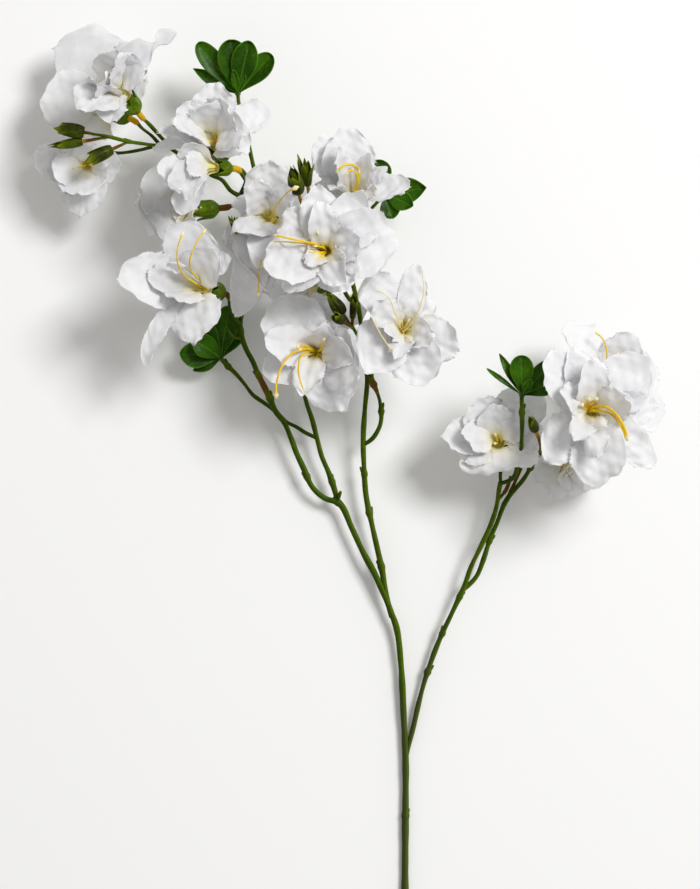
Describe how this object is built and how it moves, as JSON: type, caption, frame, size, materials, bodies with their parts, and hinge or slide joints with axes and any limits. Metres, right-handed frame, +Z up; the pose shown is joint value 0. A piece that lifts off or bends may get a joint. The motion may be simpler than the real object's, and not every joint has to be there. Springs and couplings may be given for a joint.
{
  "type": "artificial azalea branch",
  "caption": "Artificial azalea branch with large ruffled white double blooms, yellow stamens, glossy green calyces and leaves on a forked moulded stem, lying on its back.",
  "frame": {"origin": "under the middle of the bounding box, on the surface that the branch lies on", "axes": "+Z up from the surface, +Y from the stem's cut end towards the blooms, +X to the right as seen from above with the blooms at the top"},
  "size_m": [0.404, 0.6482, 0.1132],
  "materials": {
    "stem": "moulded, satin",
    "calyx": "glossy",
    "leaf": "glossy",
    "stamen": "glossy",
    "petal": "stiffened, frayed edges"
  },
  "bodies": {
    "root": {"main_stem": "stem", "left_branch": "stem", "middle_branch": "stem", "right_branch": "stem", "calyx_tip_upper": "calyx", "calyx_tip_rear": "calyx", "calyx_tip_lower": "calyx", "calyx_crown_upper": "calyx", "calyx_crown_side": "calyx", "calyx_crown_left": "calyx", "calyx_left_low": "calyx", "calyx_left_centre": "calyx", "calyx_centre": "calyx", "calyx_top": "calyx", "calyx_low_centre": "calyx", "calyx_low_right": "calyx", "calyx_rear_centre": "calyx", "calyx_side_left": "calyx", "calyx_side_front": "calyx", "calyx_side_rear": "calyx", "calyx_side_low": "calyx", "crown_leaves": "leaf", "top_leaves": "leaf", "twig_leaves": "leaf", "side_leaves": "leaf", "stamens_tip_upper": "stamen", "stamens_tip_rear": "stamen", "stamens_tip_lower": "stamen", "stamens_crown_upper": "stamen", "stamens_crown_side": "stamen", "stamens_crown_left": "stamen", "stamens_left_low": "stamen", "stamens_left_centre": "stamen", "stamens_centre": "stamen", "stamens_top": "stamen", "stamens_low_centre": "stamen", "stamens_low_right": "stamen", "stamens_rear_centre": "stamen", "stamens_side_left": "stamen", "stamens_side_front": "stamen", "stamens_side_rear": "stamen", "stamens_side_low": "stamen", "corolla_tip_upper": "petal", "corolla_tip_rear": "petal", "corolla_tip_lower": "petal", "corolla_crown_upper": "petal", "corolla_crown_side": "petal", "corolla_crown_left": "petal", "corolla_left_low": "petal", "corolla_left_centre": "petal", "corolla_centre": "petal", "corolla_top": "petal", "corolla_low_centre": "petal", "corolla_low_right": "petal", "corolla_rear_centre": "petal", "corolla_side_left": "petal", "corolla_side_front": "petal", "corolla_side_rear": "petal", "corolla_side_low": "petal"}
  },
  "joints": []
}
